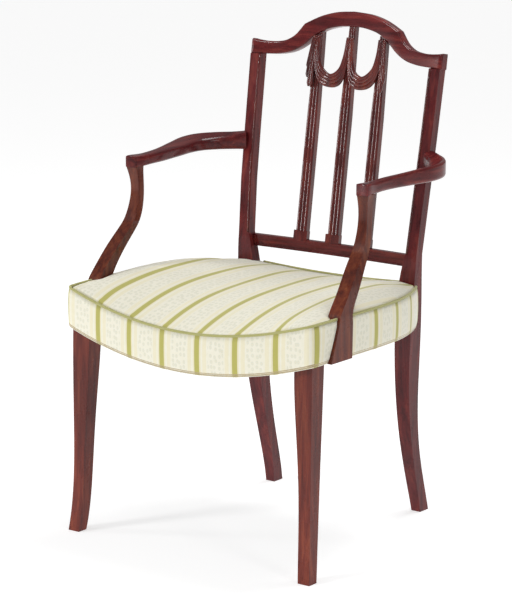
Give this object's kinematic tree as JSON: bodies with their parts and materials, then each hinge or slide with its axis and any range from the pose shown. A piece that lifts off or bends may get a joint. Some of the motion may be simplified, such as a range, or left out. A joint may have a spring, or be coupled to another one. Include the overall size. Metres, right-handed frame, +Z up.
{
  "type": "open armchair",
  "caption": "Open armchair with a shouldered arched back, reeded splat bars hung with carved swags, swept arm supports, sabre rear legs and a dished upholstered seat.",
  "frame": {"origin": "on the floor under the middle of the chair's width, at the middle of its depth", "axes": "+X to the right of someone facing the chair, +Y from the front to the back, +Z up"},
  "size_m": [0.5702, 0.5374, 0.932],
  "materials": {
    "mahogany": "polished dark red-brown mahogany",
    "seat_frame_wood": "plain oiled beech, hidden",
    "striped_silk": "cream silk with olive-gold stripes",
    "welt_green": "green-gold corded welt",
    "gimp_gold": "woven tan and gold braid",
    "hessian": "coarse woven jute",
    "webbing": "woven linen webbing",
    "horsehair": "curled horsehair, hidden",
    "dust_cloth": "black cambric",
    "steel_screw": "plain steel, hidden"
  },
  "bodies": {
    "root": {"crest_rail": "mahogany", "lower_back_rail": "mahogany", "splat_bar_left": "mahogany", "splat_bar_centre": "mahogany", "splat_bar_right": "mahogany", "swag_left": "mahogany", "swag_right": "mahogany", "drapery_tail_left": "mahogany", "drapery_tail_right": "mahogany", "rear_leg_left": "mahogany", "rear_leg_right": "mahogany", "front_leg_left": "mahogany", "front_leg_right": "mahogany", "arm_left": "mahogany", "arm_right": "mahogany", "arm_support_left": "mahogany", "arm_support_right": "mahogany", "front_seat_rail": "seat_frame_wood", "side_seat_rail_left": "seat_frame_wood", "side_seat_rail_right": "seat_frame_wood", "back_seat_rail": "seat_frame_wood", "front_corner_block_left": "seat_frame_wood", "front_corner_block_right": "seat_frame_wood", "rear_corner_block_left": "seat_frame_wood", "rear_corner_block_right": "seat_frame_wood", "corner_block_screws": "steel_screw", "arm_support_screws": "steel_screw", "arm_screws": "steel_screw", "webbing": "webbing", "hessian": "hessian", "horsehair_stuffing": "horsehair", "seat_cover": "striped_silk", "seat_border": "striped_silk", "welt_cord": "welt_green", "gimp_braid": "gimp_gold", "dust_cover": "dust_cloth"}
  },
  "joints": []
}
